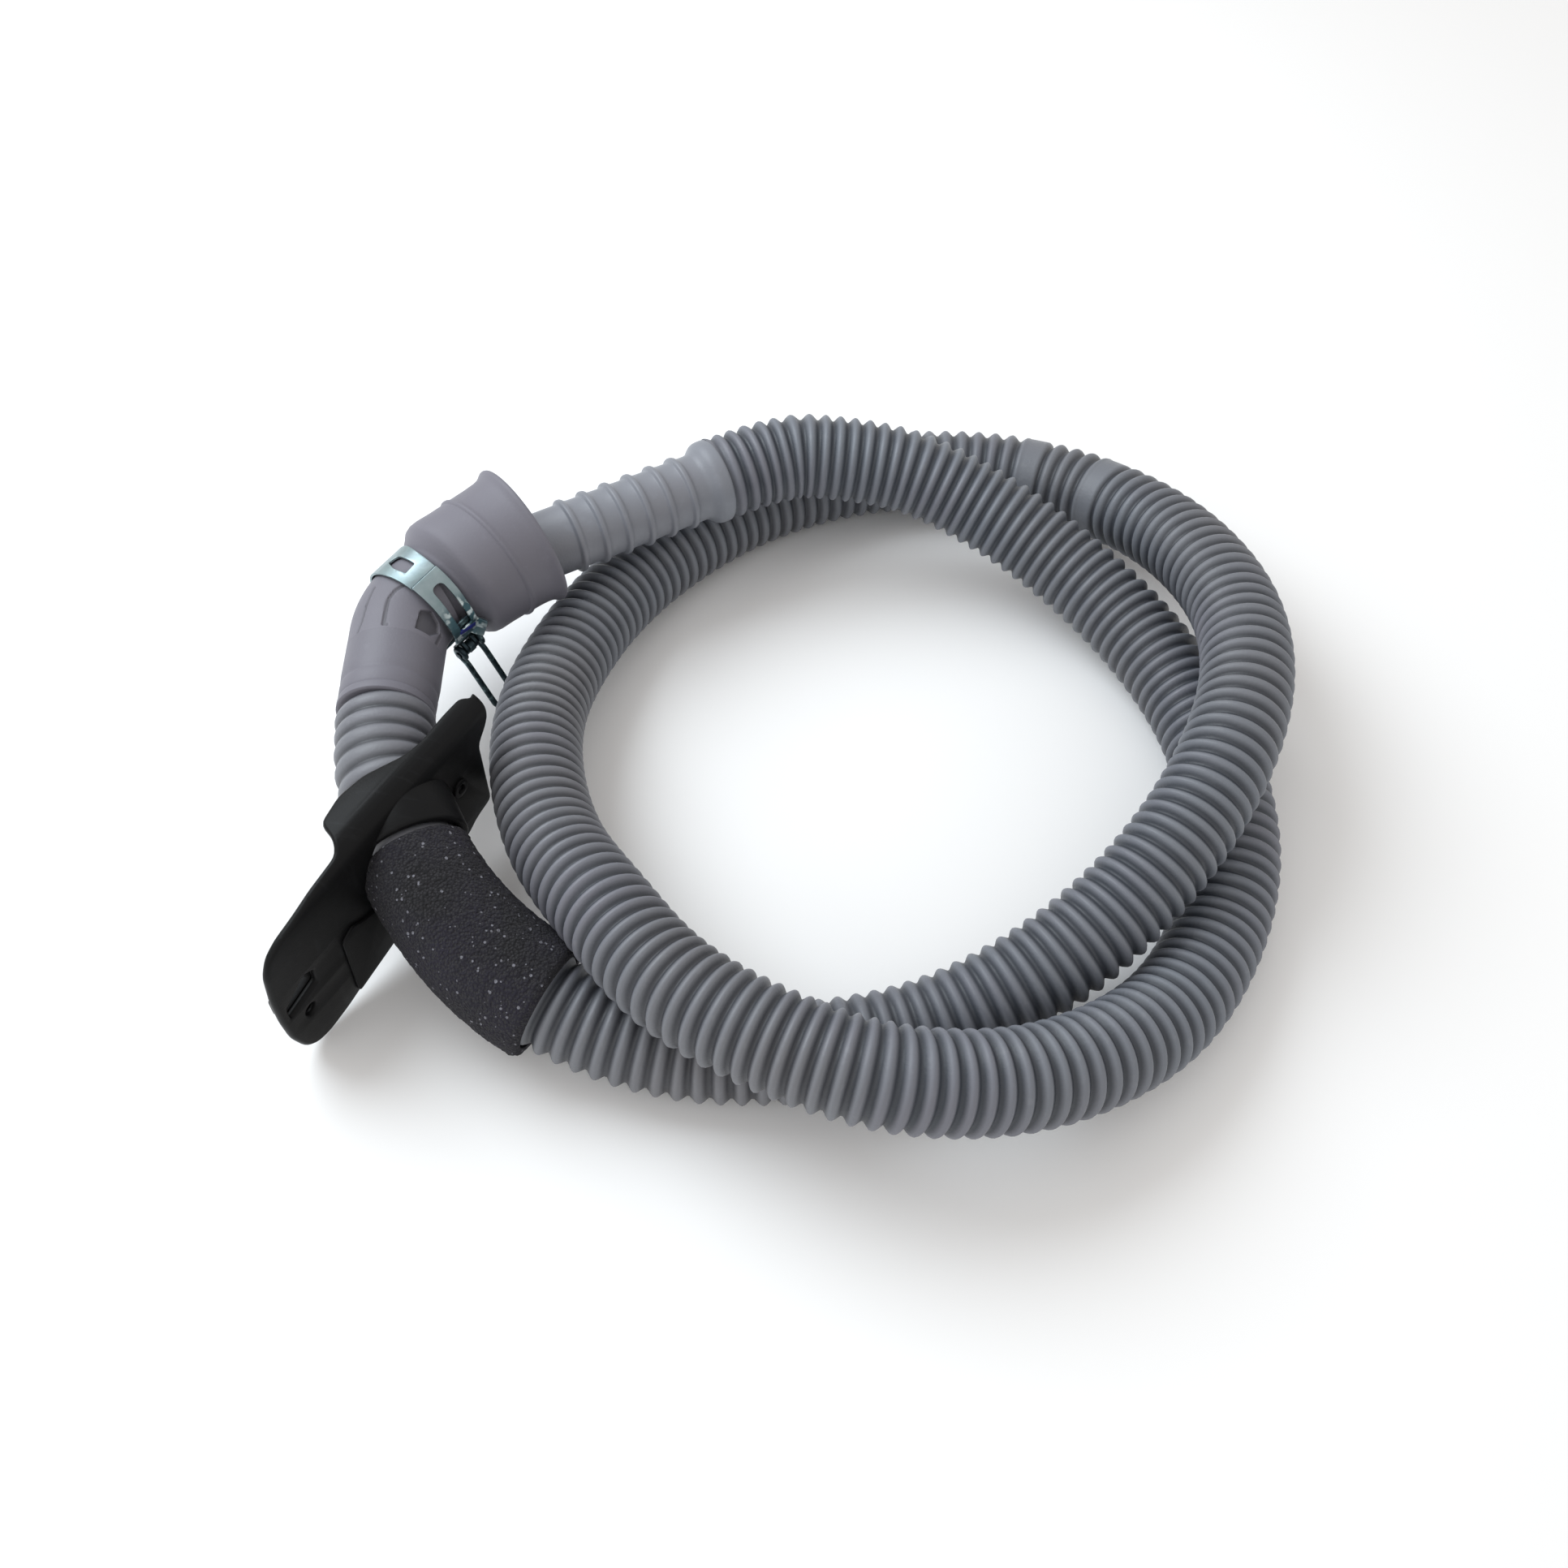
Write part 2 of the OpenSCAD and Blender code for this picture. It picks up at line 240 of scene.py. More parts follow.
def moulded_material(name, light, dark, rough_low, rough_high):
    """Matt moulded plastic or rubber: cloudy tint, dust, fine pores, painted shade in creases."""
    dust_share, crease_shade_share = 1.35, 0.35
    s = Shader(name)
    cloud = s.ramp(s.noise(12.0, 3.0), 0.32, 0.68)
    base = s.mix(cloud, dark, light)
    dust = s.ramp(s.noise(140.0, 4.0, 0.6), 0.6, 0.74, 0.0, 0.22)
    base = s.mix(dust, base, tuple(dust_share * c for c in light))
    # Painted shade: places marked as sunk, such as the neck's seams and window, go darker.
    crease_shade = s.attribute("groove")
    s.set(Base_Color=s.mix(crease_shade, base, tuple(crease_shade_share * c for c in dark)))
    s.set(Roughness=s.ramp(s.noise(30.0, 3.0), 0.3, 0.7, rough_low, rough_high))
    s.bump(s.noise(1100.0, 3.0), 0.14, 0.0005)
    return s.material


def foam_material():
    """Charcoal open-cell foam: crumbly cells, a violet cast and scattered bright specks."""
    s = Shader("open_cell_foam")
    cells = s.node("ShaderNodeTexVoronoi", {"Vector": s.place, "Scale": 1100.0},
                   feature="F1").outputs["Distance"]
    cloud = s.ramp(s.noise(40.0, 3.0), 0.35, 0.65)
    base = s.mix(cloud, (0.017, 0.017, 0.019), (0.024, 0.022, 0.033))
    base = s.mix(s.ramp(cells, 0.25, 0.6), (0.036, 0.035, 0.039), base)
    # Only the cells whose random number is above this hold a speck, larger for a higher one.
    bare = 0.6
    flecks = s.node("ShaderNodeTexVoronoi", {"Vector": s.place, "Scale": 560.0}, feature="F1")
    chosen = s.node("ShaderNodeSeparateColor", {"Color": flecks.outputs["Color"]}).outputs[0]
    spot = s.math("LESS_THAN", flecks.outputs["Distance"], s.ramp(chosen, bare, 1.0, 0.08, 0.32))
    speck = s.math("MULTIPLY", spot, s.math("GREATER_THAN", chosen, bare))
    s.set(Base_Color=s.mix(speck, base, (0.20, 0.20, 0.23)))
    s.set(Roughness=0.95, Sheen_Weight=0.04, Specular_IOR_Level=0.2)
    grain = s.math("ADD", cells, s.math("MULTIPLY", s.noise(900.0, 4.0, 0.7), 1.2))
    s.bump(grain, 0.9, 0.0010)
    return s.material


def bracket_material():
    """Black moulded plastic with a satin skin, faint scuffs and fine grain."""
    s = Shader("black_plastic")
    scuffs = s.ramp(s.noise(60.0, 5.0, 0.65, (1.0, 5.0, 1.0)), 0.56, 0.72, 0.0, 0.35)
    base = s.mix(s.ramp(s.noise(14.0, 2.0), 0.35, 0.65), (0.0068, 0.0068, 0.0071),
                 (0.0085, 0.0088, 0.0095))
    s.set(Base_Color=s.mix(scuffs, base, (0.020, 0.021, 0.023)))
    s.set(Roughness=s.ramp(s.noise(38.0, 4.0), 0.3, 0.7, 0.32, 0.46),
          Specular_IOR_Level=0.11)
    s.bump(s.noise(1400.0, 2.0), 0.10, 0.0004)
    return s.material


def zinc_material(knuckle):
    """Zinc-plated sheet steel: cool blotches, rolling lines, a soft shine, and painted glints
    and dark painted reflections round the knuckle, where the strap turns out towards its ears."""
    s = Shader("zinc_plate")
    blotch = s.ramp(s.noise(120.0, 4.0), 0.35, 0.65)
    base = s.mix(blotch, (0.22, 0.29, 0.31), (0.31, 0.38, 0.40))
    lines = s.noise(70.0, 3.0, 0.6, (1.0, 1.0, 14.0))
    base = s.mix(s.ramp(lines, 0.45, 0.7, 0.0, 0.4), base, (0.28, 0.37, 0.36))
    apart = s.node("ShaderNodeVectorMath", {0: s.place, 1: tuple(knuckle)}, operation="DISTANCE")
    # Painted glints: near the knuckle the colour turns to bright and dark patches that stand in
    # for reflections.
    near, far = 0.0065, 0.0115
    glint_mask = s.ramp(apart.outputs["Value"], near, far, 1.0, 0.0)
    facet = s.noise(330.0, 2.0)
    bright = s.mix(s.ramp(facet, 0.50, 0.60), (0.035, 0.10, 0.125), (0.80, 0.90, 0.90))
    s.set(Base_Color=s.mix(s.math("MULTIPLY", glint_mask, 0.85), base, bright))
    s.set(Metallic=0.85, Roughness=s.ramp(lines, 0.3, 0.7, 0.30, 0.48))
    s.bump(s.math("ADD", lines, s.math("MULTIPLY", glint_mask, facet)), 0.2, 0.0006)
    return s.material


def wire_material():
    """Dark plated steel with worn bright patches."""
    s = Shader("dark_steel")
    worn = s.ramp(s.noise(320.0, 4.0, 0.6), 0.52, 0.7)
    s.set(Base_Color=s.mix(worn, (0.028, 0.045, 0.055), (0.16, 0.24, 0.25)))
    s.set(Metallic=0.8, Roughness=s.ramp(worn, 0.0, 1.0, 0.42, 0.28))
    s.bump(s.noise(900.0, 3.0), 0.12, 0.0003)
    return s.material


def paint_material():
    """Dab of blue marking paint."""
    s = Shader("blue_paint")
    s.set(Base_Color=s.mix(s.ramp(s.noise(500.0, 3.0), 0.35, 0.65), (0.006, 0.010, 0.10),
                           (0.012, 0.022, 0.22)))
    s.set(Roughness=0.35)
    s.bump(s.noise(700.0, 3.0), 0.2, 0.0003)
    return s.material


# -------- mesh helpers

@contextmanager
def edited(mesh):
    """A mesh opened for bmesh's tools and written back afterwards."""
    work = bmesh.new()
    work.from_mesh(mesh)
    yield work
    work.to_mesh(mesh)
    work.free()


def finish_piece(obj, body, material, sharp, stands_for=()):
    """Gives a piece its material, shading, body and the CAD nodes it replaces. Edges
    above sharp degrees stay sharp."""
    mesh = obj.data
    with edited(mesh) as work:
        bmesh.ops.recalc_face_normals(work, faces=work.faces)
    mesh.polygons.foreach_set("use_smooth", [True] * len(mesh.polygons))
    mesh.set_sharp_from_angle(angle=math.radians(sharp))
    mesh.materials.clear()
    mesh.materials.append(material)
    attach(obj, body)
    if stands_for:
        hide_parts(*stands_for)


def new_object(name, mesh):
    """Object in the scene that holds a mesh or a curve."""
    obj = bpy.data.objects.new(name, mesh)
    bpy.context.scene.collection.objects.link(obj)
    return obj


def grid_object(name, rows, wrap=False, groove=None):
    """Mesh over rings of points: rows is rings x sides x 3 in metres. wrap joins the last
    ring to the first, and otherwise both ends are capped. groove is one number a point."""
    count, sides = rows.shape[:2]
    i, j = np.meshgrid(np.arange(count if wrap else count - 1), np.arange(sides), indexing="ij")
    after_i = (i + 1) % count
    after_j = (j + 1) % sides
    quads = np.stack([i * sides + j, i * sides + after_j, after_i * sides + after_j,
                      after_i * sides + j], axis=-1).reshape(-1, 4)
    faces = quads.tolist()
    if not wrap:
        faces.append(list(range(sides))[::-1])
        faces.append(list(range((count - 1) * sides, count * sides)))
    mesh = bpy.data.meshes.new(name)
    mesh.from_pydata(rows.reshape(-1, 3).tolist(), [], faces)
    if groove is not None:
        values = mesh.attributes.new("groove", "FLOAT", "POINT")
        values.data.foreach_set("value", np.asarray(groove, np.float32).ravel())
    return new_object(name, mesh)


def shifted(place):
    """Frame moved to a place in millimetres."""
    return Matrix.Translation(Vector([v * MM for v in place]))


def turned(degrees, axis):
    """Frame turned about one of its own axes."""
    return Matrix.Rotation(math.radians(degrees), 4, axis)


def apply_frame(points, matrix):
    """Points in millimetres moved by a frame that is in metres."""
    m = np.array(matrix)
    return (points * MM) @ m[:3, :3].T + m[:3, 3]


def circle_angles(sides):
    """Even angles round a circle, in radians."""
    return np.arange(sides) * 2 * math.pi / sides


def lathe(name, profile, matrix, sides, groove=None, slant=None):
    """Closed turned shape about the frame's +X. profile is (x, radius) round the section,
    and slant says how far each place is pushed along X at its angle."""
    profile = np.array(profile, float)
    a = circle_angles(sides)
    along = np.repeat(profile[:, :1], sides, 1)
    rings = np.stack([
        along if slant is None else along + slant(along, a[None]),
        profile[:, 1:] * np.cos(a),
        profile[:, 1:] * np.sin(a)], axis=-1)
    depth = None if groove is None else np.repeat(np.array(groove)[:, None], sides, 1)
    return grid_object(name, apply_frame(rings, matrix), wrap=True, groove=depth)


def rounded(points, radius, steps=5):
    """A closed outline with its corners rounded. radius is one number or one a corner, and
    a corner takes at most most_of_side of each side next to it."""
    most_of_side = 0.45
    points = [np.array(p, float) for p in points]
    n = len(points)
    radii = radius if hasattr(radius, "__len__") else [radius] * n
    out = []
    for k in range(n):
        before, here, after = points[k - 1], points[k], points[(k + 1) % n]
        a = before - here
        b = after - here
        reach = min(radii[k], most_of_side * np.linalg.norm(a), most_of_side * np.linalg.norm(b))
        a = here + a / np.linalg.norm(a) * reach
        b = here + b / np.linalg.norm(b) * reach
        for t in np.linspace(0, 1, steps):
            out.append((1 - t) ** 2 * a + 2 * t * (1 - t) * here + t * t * b)
    return out


def oval(centre, half_x, half_y, turn=0.0, sides=40):
    """Outline of an ellipse whose first axis is turned by some degrees."""
    a = circle_angles(sides)
    c, s = math.cos(math.radians(turn)), math.sin(math.radians(turn))
    x, y = half_x * np.cos(a), half_y * np.sin(a)
    return [(centre[0] + c * u - s * v, centre[1] + s * u + c * v) for u, v in zip(x, y)]


# Points of a plate nearer than this, in millimetres, are one point.
WELD = 0.004


def flat_mesh(name, outline, holes, thickness, edge):
    """Plate in the XY plane, centred on z = 0, with rounded edges, in millimetres."""
    curve = bpy.data.curves.new(name, "CURVE")
    curve.dimensions = "2D"
    curve.fill_mode = "BOTH"
    curve.extrude = thickness / 2 - edge
    curve.bevel_depth = edge
    curve.bevel_resolution = 2
    curve.offset = -edge
    for loop in [outline, *holes]:
        spline = curve.splines.new("POLY")
        spline.points.add(len(loop) - 1)
        spline.use_cyclic_u = True
        for point, place in zip(spline.points, loop):
            point.co = (place[0], place[1], 0, 1)
    holder = new_object(name + "_curve", curve)
    bpy.context.view_layer.update()
    evaluated = holder.evaluated_get(bpy.context.evaluated_depsgraph_get())
    mesh = bpy.data.meshes.new_from_object(evaluated)
    bpy.data.objects.remove(holder)
    bpy.data.curves.remove(curve)
    with edited(mesh) as work:
        bmesh.ops.remove_doubles(work, verts=work.verts, dist=WELD)
    mesh.name = name
    return mesh


def move_mesh(mesh, function):
    """Sends every vertex of a mesh, an array in millimetres, through a function to metres."""
    co = np.empty(len(mesh.vertices) * 3, np.float32)
    mesh.vertices.foreach_get("co", co)
    moved = function(co.reshape(-1, 3).astype(float))
    mesh.vertices.foreach_set("co", moved.astype(np.float32).ravel())
    mesh.update()


def slice_mesh(mesh, stations, axis=(1, 0, 0)):
    """Cuts a mesh across an axis at each station so that it can bend smoothly there."""
    with edited(mesh) as work:
        for station in stations:
            geometry = work.verts[:] + work.edges[:] + work.faces[:]
            bmesh.ops.bisect_plane(work, geom=geometry, plane_co=Vector(axis) * station,
                                   plane_no=axis)


def joined(name, parts):
    """One object from several."""
    for obj in bpy.context.selected_objects:
        obj.select_set(False)
    for obj in parts:
        obj.select_set(True)
    bpy.context.view_layer.objects.active = parts[0]
    bpy.ops.object.join()
    parts[0].name = name
    return parts[0]


def smoothstep(t):
    """Rises smoothly from 0 to 1 as t does."""
    t = np.clip(t, 0, 1)
    return t * t * (3 - 2 * t)


# -------- hose

class Path:
    """The hose's centreline, in millimetres, by its length from the outlet collar."""

    # Steps of the curve between two points of the route.
    PER_SPAN = 16
    # Half the length over which a heading is measured.
    REACH = 3.0

    def __init__(self, points):
        p = np.array(points) / MM - CENTRE
        ends = np.vstack([2 * p[0] - p[1], p, 2 * p[-1] - p[-2]])
        line = []
        for k in range(len(p) - 1):
            a, b, c, d = ends[k:k + 4]
            for step in range(self.PER_SPAN):
                t = step / self.PER_SPAN
                line.append(0.5 * (2 * b + (c - a) * t + (2 * a - 5 * b + 4 * c - d) * t * t
                                   + (3 * b - a - 3 * c + d) * t ** 3))
        line.append(p[-1])
        self.points = np.array(line)
        self.points[:, 2] = np.maximum(self.points[:, 2], HOSE_R)
        gaps = np.linalg.norm(np.diff(self.points, axis=0), axis=1)
        self.along = np.concatenate([[0], np.cumsum(gaps)])
        self.length = self.along[-1]

    def at(self, s):
        """Points at each length."""
        return np.stack([np.interp(s, self.along, self.points[:, k]) for k in range(3)], -1)

    def frames(self, s):
        """Points, headings, sideways and upward directions at each length."""
        s = np.clip(np.asarray(s, float), 0, self.length)
        ahead = self.at(np.minimum(s + self.REACH, self.length))
        heading = ahead - self.at(np.maximum(s - self.REACH, 0))
        heading /= np.linalg.norm(heading, axis=-1, keepdims=True)
        side = np.cross(heading, [0.0, 0.0, 1.0])
        side /= np.linalg.norm(side, axis=-1, keepdims=True)
        return self.at(s), heading, side, np.cross(side, heading)


PATH = Path(HOSE_ROUTE)

# Corrugation pitch along the hose, which stretches and bunches as it bends.
PITCH_AT = [0, 100, 220, 320, 360, 500, 780, 900, 1060, 1180, 1310, 1430, 1465, 1480]
PITCH = [5.4, 5.4, 5.9, 5.5, 5.9, 5.3, 5.7, 6.4, 6.6, 5.1, 6.5, 5.4, 5.4, 6.6]
# A crest is a wave to this power: the lower the power, the wider the crest.
CREST_POWER = 0.78
# Plain bands between two corrugations, by their middles, with half of their flat width, how
# far their edges reach and how much lower than the crests they lie.
PLAIN_BANDS = (943.0, 975.5)
PLAIN_HALF, PLAIN_EDGE, PLAIN_SINK = 3.5, 1.6, 0.35
# The hose starts inside the outlet end's collar. Its corrugations start at a share of their
# depth and grow to all of it over a length.
HOSE_START = -4.5
START_SHARE, START_OVER = 0.45, 8
# The last stretch, up to the elbow, swells and has shallow wide corrugations, which start
# over a length. Their crests' power is lower by a step, and their grooves take more painted
# shade.
SHALLOW_FROM, SHALLOW_OVER = 1472.0, 6
SHALLOW_DEPTH, SHALLOW_SWELL = 1.5, 0.7
SHALLOW_POWER_STEP, SHALLOW_DARKER = 0.33, 0.5
# How strongly a bend makes grooves shallower on its inside and deeper on its outside.
SQUEEZE_INSIDE, SQUEEZE_OUTSIDE = 1.9, 0.2


def corrugation(s, phase):
    """Radius, and how much painted shade (0 to 1) each place along the hose takes in its groove.
    """
    wave = 0.5 + 0.5 * np.cos(2 * math.pi * phase)
    shallow = smoothstep((s - SHALLOW_FROM) / SHALLOW_OVER)
    crest = wave ** (CREST_POWER - SHALLOW_POWER_STEP * shallow)
    depth = HOSE_DEPTH + (SHALLOW_DEPTH - HOSE_DEPTH) * shallow
    start = smoothstep((s - HOSE_START) / START_OVER)
    depth = depth * (START_SHARE + (1 - START_SHARE) * start)
    sink = -SHALLOW_SWELL * shallow
    for middle in PLAIN_BANDS:
        inside = 1 - smoothstep((np.abs(s - middle) - PLAIN_HALF) / PLAIN_EDGE)
        depth = depth * (1 - inside)
        sink = sink + PLAIN_SINK * inside
    low = depth * (1 - crest)
    # How much painted shade darkens the colour here: more deep in a groove, more on the last
    # stretch.
    shade = low / HOSE_DEPTH * (1 + SHALLOW_DARKER * shallow)
    return HOSE_R - low - sink, np.clip(shade, 0, 1)


def build_hose(material):
    """Corrugated tube whose grooves close up on the inside of its bends."""
    step, rings_per_corrugation, sides, reach = 0.05, 9, 44, 12.0
    fine = np.arange(HOSE_START, PATH.length, step)
    turns = np.concatenate([[0], np.cumsum(step / np.interp(fine[:-1], PITCH_AT, PITCH))])
    phase = np.arange(0, turns[-1], 1 / rings_per_corrugation)
    s = np.append(np.interp(phase, turns, fine), PATH.length)
    phase = np.append(phase, turns[-1])
    radius, groove = corrugation(s, phase)
    centre, heading, side, up = PATH.frames(s)
    centre = centre + heading * np.minimum(s, 0)[:, None]
    a = circle_angles(sides)
    away = np.cos(a)[None, :, None] * side[:, None] + np.sin(a)[None, :, None] * up[:, None]
    bend = (PATH.frames(s + reach)[1] - PATH.frames(s - reach)[1]) / (2 * reach)
    squeeze = HOSE_R * (bend[:, None] * away).sum(-1)
    low = (HOSE_R - radius)[:, None]
    low = low * (1 - np.where(squeeze > 0, SQUEEZE_INSIDE, SQUEEZE_OUTSIDE) * squeeze)
    rows = centre[:, None] + (HOSE_R - low)[..., None] * away
    hose = grid_object("hose_tube", rows * MM, groove=np.repeat(groove[:, None], sides, 1))
    finish_piece(hose, "hose_set", material, sharp=80, stands_for=["drain_hose"])
    return hose


# -------- outlet end

SPIGOT_LENGTH = 96.0
SPIGOT_TURN = 30.0
SPIGOT_R = 12.5
RIB_R = 13.95
# Middles of the ribs, by their distance from the end's tip.
RIBS = [30.3 + 9.25 * k for k in range(6)]


def spigot_frame():
    """Frame at the outlet end's tip, with +X towards the hose."""
    turn = math.radians(SPIGOT_TURN)
    start = np.array(HOSE_ROUTE[0]) / MM - CENTRE
    tip = start - SPIGOT_LENGTH * np.array([math.cos(turn), math.sin(turn), 0])
    return shifted(tip) @ turned(SPIGOT_TURN, "Z")


def build_spigot(material):
    """Ribbed outlet end with a swept shoulder up to the hose's collar."""
    body, rib = SPIGOT_R, RIB_R
    outer = [(0.0, 10.6), (-0.1, 11.3), (0.0, 11.9), (0.5, 12.3), (1.2, body), (14, body)]
    for middle in RIBS:
        outer += [(middle - 1.9, body), (middle - 1.5, body + 0.2), (middle - 1.2, body + 0.9),
                  (middle - 0.9, rib - 0.15), (middle - 0.5, rib), (middle + 0.4, rib - 0.05),
                  (middle + 0.9, rib - 0.35), (middle + 1.3, body + 0.55),
                  (middle + 1.9, body + 0.25), (middle + 3.0, body + 0.1)]
    outer += [(82.4, 12.6), (83.6, 12.9), (84.6, 13.6), (85.6, 14.6), (86.6, 15.4),
              (87.6, 15.8), (88.6, 15.95), (90.4, 16.0), (91.2, 15.9), (91.7, 15.5),
              (91.9, 14.8), (91.9, 13.0)]
    inner = [(96.0, 12.6), (96.0, 10.4), (60.0, 10.2), (4.0, 10.2), (0.6, 10.3)]
    spigot = lathe("spigot_body", outer + inner, spigot_frame(), sides=112)
    finish_piece(spigot, "hose_set", material, sharp=50, stands_for=["outlet_spigot"])
    return spigot


# -------- elbow and cup

# Length of the straight part before the bend, the bend's radius and angle, and by how many
# degrees the elbow rolls about its straight part and how many that rises.
ELBOW_LEAD = 34.5
BEND_R = 27.0
BEND_ANGLE = 52.0
ELBOW_ROLL, ELBOW_RISE = -6.5, 3
ELBOW_R = 16.8
ELBOW_BORE_R = 13.5
# The elbow narrows where it goes into the cup's neck, first under the neck's lower part and
# then by more inside the clamp.
UNDER_NECK_R = ELBOW_R - 1.2
PLUG_R = 14.9
NECK_BORE_R = 15.05
# Lengths along the bend's centreline, from its start, that the cup's neck covers.
NECK_LOW, NECK_HIGH = -9.0, 23.5


def elbow_frame():
    """Frame at the hose's end, with +Y along the elbow and its bend towards +X."""
    start = np.array(HOSE_ROUTE[-1]) / MM - CENTRE
    return shifted(start) @ turned(ELBOW_ROLL, "Y") @ turned(ELBOW_RISE, "X")


def bend_point(angle):
    """Place on the elbow's centreline, in its own frame, at an angle of its bend."""
    a = math.radians(angle)
    return np.array([BEND_R * (1 - math.cos(a)), ELBOW_LEAD + BEND_R * math.sin(a), 0.0])


def frame_at_bend(angle):
    """Frame with +X along the elbow's heading at an angle of its bend."""
    return elbow_frame() @ shifted(bend_point(angle)) @ turned(90 - angle, "Z")


def bent_rings(stations, radii, sides):
    """Rings along the elbow. A station is a length before the bend, as a negative number,
    or an angle in it. radii is stations x sides or stations x 1."""
    a = circle_angles(sides)
    rows = []
    for station, radius in zip(stations, radii):
        angle = max(0.0, min(station, BEND_ANGLE))
        turn = math.radians(angle)
        heading = np.array([math.sin(turn), math.cos(turn), 0])
        side = np.array([math.cos(turn), -math.sin(turn), 0])
        place = bend_point(angle) + heading * (min(station, 0) + max(0, station - BEND_ANGLE))
        level = np.outer(radius * np.cos(a), side)
        rows.append(place + level + np.outer(radius * np.sin(a), [0, 0, 1]))
    return apply_frame(np.array(rows), elbow_frame())


def build_elbow(material):
    """Bent rubber tube with soft steps on the cuff that the hose goes into."""
    outer = [(0, 15.4), (0.1, 16.1), (0.6, 16.55), (2.4, 16.6), (3.2, 16.45), (3.7, 16.2),
             (4.3, 16.45), (8.2, 16.6), (9.2, 16.5), (9.9, 16.3), (10.8, 16.6), (14, ELBOW_R),
             (20, ELBOW_R)]
    outer = [(y - ELBOW_LEAD, r) for y, r in outer]
    outer += [(NECK_LOW - 1.5, ELBOW_R), (NECK_LOW + 0.5, ELBOW_R),
              (NECK_LOW + 1.0, UNDER_NECK_R)]
    outer += [(a, UNDER_NECK_R) for a in (-6, -3, 0, 2, 4)]
    outer += [(6.5, PLUG_R + 0.2), (7.0, PLUG_R)]
    outer += [(a, PLUG_R) for a in np.arange(9, BEND_ANGLE + 0.1, 2.0)]
    outer += [(BEND_ANGLE + 3.1, PLUG_R), (BEND_ANGLE + 3.5, PLUG_R - 0.4)]
    inner = [(s, ELBOW_BORE_R) for s, _ in reversed(outer)]
    section = outer + inner
    sides = 96
    rows = bent_rings([s for s, _ in section], [np.full(sides, r) for _, r in section], sides)
    elbow = grid_object("elbow_tube", rows, wrap=True)
    finish_piece(elbow, "hose_set", material, sharp=40, stands_for=["inlet_elbow"])
    return elbow


# Seams moulded into the neck: points (length, degrees around), half width and depth.
NECK_SEAMS = (
    (((8.5, 114), (2.0, 115), (-4.0, 118), (-8.0, 122)), 0.42, 0.34),
    (((15.0, 73), (12.0, 77), (8.2, 83), (4.0, 86.5), (-3.0, 87), (-7.4, 87)), 0.46, 0.42),
    (((-7.4, 87), (-7.5, 83)), 0.42, 0.34),
    (((-2.6, 11), (-5.0, 14), (-9.0, 18)), 0.5, 0.4))
SEAM_EDGE = 0.3
# Sunk window beside the inside of the bend, as a closed loop of the same points.
NECK_WINDOW = ((2.6, 48), (-7.0, 51), (-7.2, 29), (-3.0, 14), (2.0, 18), (6.8, 34))
WINDOW_DEPTH, WINDOW_EDGE = 0.95, 0.7
# The neck stands a hair off the elbow, and swells from a little above its lower edge.
NECK_RISE, NECK_SWELL = 0.02, 0.38
SWELL_FROM, SWELL_OVER = 3, 22.0


def away_from_line(points, line):
    """Distance of each point from a broken line."""
    best = np.full(points.shape[:-1], 1e9)
    for a, b in zip(line[:-1], line[1:]):
        a, b = np.array(a), np.array(b)
        t = np.clip(((points - a) @ (b - a)) / ((b - a) @ (b - a)), 0, 1)
        best = np.minimum(best, np.linalg.norm(points - a - t[..., None] * (b - a), axis=-1))
    return best


def inside_loop(points, loop):
    """Which points a closed loop goes round."""
    inside = np.zeros(points.shape[:-1], bool)
    x, y = points[..., 0], points[..., 1]
    for (ax, ay), (bx, by) in zip(loop, [*loop[1:], loop[0]]):
        if ay != by:
            crosses = (ay > y) != (by > y)
            inside ^= crosses & (x < (bx - ax) * (y - ay) / (by - ay) + ax)
    return inside


def build_neck():
    """The cup's neck over the elbow's end, with its seams and sunk window."""
    sides, step = 300, 0.34
    per_degree = math.radians(1) * ELBOW_R
    lower_edge = [NECK_LOW, NECK_LOW + 0.15]
    along = np.concatenate([lower_edge, np.arange(NECK_LOW + 0.5, NECK_HIGH, step)])
    around = np.arange(sides) * 360.0 / sides * per_degree
    flat = np.stack(np.meshgrid(along, around, indexing="ij"), -1)
    depth = np.zeros(flat.shape[:2])
    for points, half, deep in NECK_SEAMS:
        line = [(s, degrees * per_degree) for s, degrees in points]
        gap = away_from_line(flat, line)
        depth = np.maximum(depth, deep * (1 - smoothstep((gap - half) / SEAM_EDGE)))
    loop = [(s, degrees * per_degree) for s, degrees in NECK_WINDOW]
    edge = away_from_line(flat, [*loop, loop[0]])
    sunk = WINDOW_DEPTH * smoothstep(edge / WINDOW_EDGE) * inside_loop(flat, loop)
    depth = np.maximum(depth, sunk)
    swell = smoothstep((along - NECK_LOW - SWELL_FROM) / SWELL_OVER)
    radius = (ELBOW_R + NECK_RISE + NECK_SWELL * swell)[:, None] - depth
    # The lowest ring is drawn in to round the neck's edge.
    radius[0] -= 0.08
    stations = np.where(along < 0, along, np.degrees(np.maximum(along, 0) / BEND_R))
    # The bore clears the elbow by 0.1 before the elbow narrows, at 2.5 along the bend.
    inner_r = np.where(along < 2.5, UNDER_NECK_R + 0.1, NECK_BORE_R)[::-1]
    rows = bent_rings([*stations, *stations[::-1]],
                      [*radius, *[np.full(sides, r) for r in inner_r]], sides)
    # The seams and the sunk window take painted shade, more where they are deeper.
    groove = np.concatenate([np.clip(depth * 1.5, 0, 0.8), np.zeros_like(depth)])
    return grid_object("cup_neck", rows, wrap=True, groove=groove)


